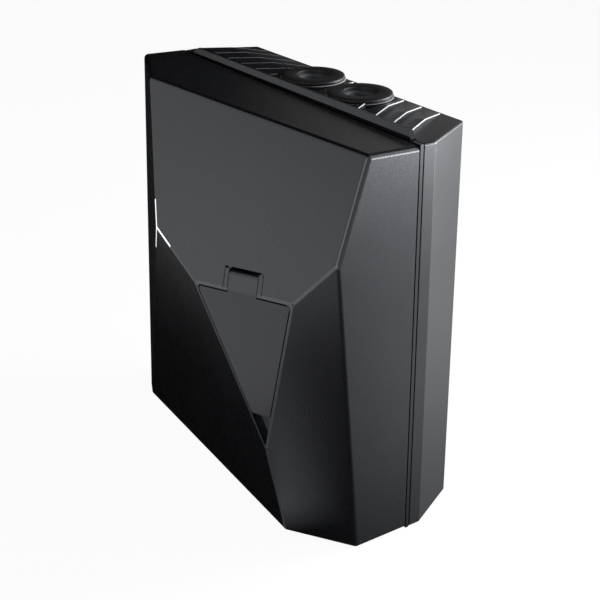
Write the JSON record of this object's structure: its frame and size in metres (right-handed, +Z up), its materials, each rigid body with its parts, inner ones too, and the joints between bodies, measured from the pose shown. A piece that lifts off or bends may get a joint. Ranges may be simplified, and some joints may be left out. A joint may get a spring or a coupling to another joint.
{
  "type": "ev wallbox",
  "caption": "Compact faceted wall charger with a sprung triangular socket flap, a three-armed light line and cable entries through its louvred roof.",
  "frame": {"origin": "on the wall, in the middle of the four wall screws", "axes": "+Z up, +X to the right seen from the front, the front faces -Y and the wall is at +Y"},
  "size_m": [0.256, 0.1308, 0.256],
  "materials": {
    "housing_shell": "anthracite moulded plastic, fine matt grain",
    "cover_shell": "dark anthracite moulded plastic, fine matt grain",
    "rubber": "black rubber",
    "light": "frosted white light guide",
    "steel": "bright steel",
    "wall_plate": "dark powder coat",
    "contacts": "plated contact metal",
    "socket_plastic": "black moulded plastic",
    "board": "green circuit board",
    "relay": "black moulded block",
    "shield": "tinned shield can",
    "terminal": "light grey moulded plastic"
  },
  "bodies": {
    "housing": {"board_screws": "steel", "cable_grommet_left": "rubber", "cable_grommet_right": "rubber", "capacitors": "relay", "contact_carrier": "socket_plastic", "cover_screws": "steel", "current_sensor": "relay", "earth_contact": "contacts", "flap_seal": "rubber", "frame_band": "housing_shell", "front_cover": "cover_shell", "hinge_pin": "steel", "hinge_spring": "steel", "housing_gasket": "rubber", "light_board": "board", "light_guide": "light", "lock_actuator": "socket_plastic", "main_board": "board", "plate_screws": "steel", "power_contacts": "contacts", "power_supply": "relay", "processor": "relay", "radio_module": "shield", "rear_housing": "housing_shell", "relay_1": "relay", "relay_2": "relay", "relay_3": "relay", "signal_contacts": "contacts", "socket_body": "socket_plastic", "socket_gasket": "rubber", "socket_screws": "steel", "terminal_block": "terminal", "terminal_screws": "steel", "wall_plate": "wall_plate"},
    "flap": {"socket_flap": "cover_shell"},
    "lock": {"lock_bolt": "steel"}
  },
  "joints": [
    {"name": "flap_hinge", "type": "hinge", "parent": "housing", "child": "flap", "pos_m": [0.05816, -0.11819, 0.03813], "axis": [-0.9776, -0.1537, -0.1436], "range_deg": [0, 100]},
    {"name": "lock_slide", "type": "slide", "parent": "housing", "child": "lock", "axis": [0.0011, -0.0073, -1], "range_m": [0, 0.005]}
  ]
}
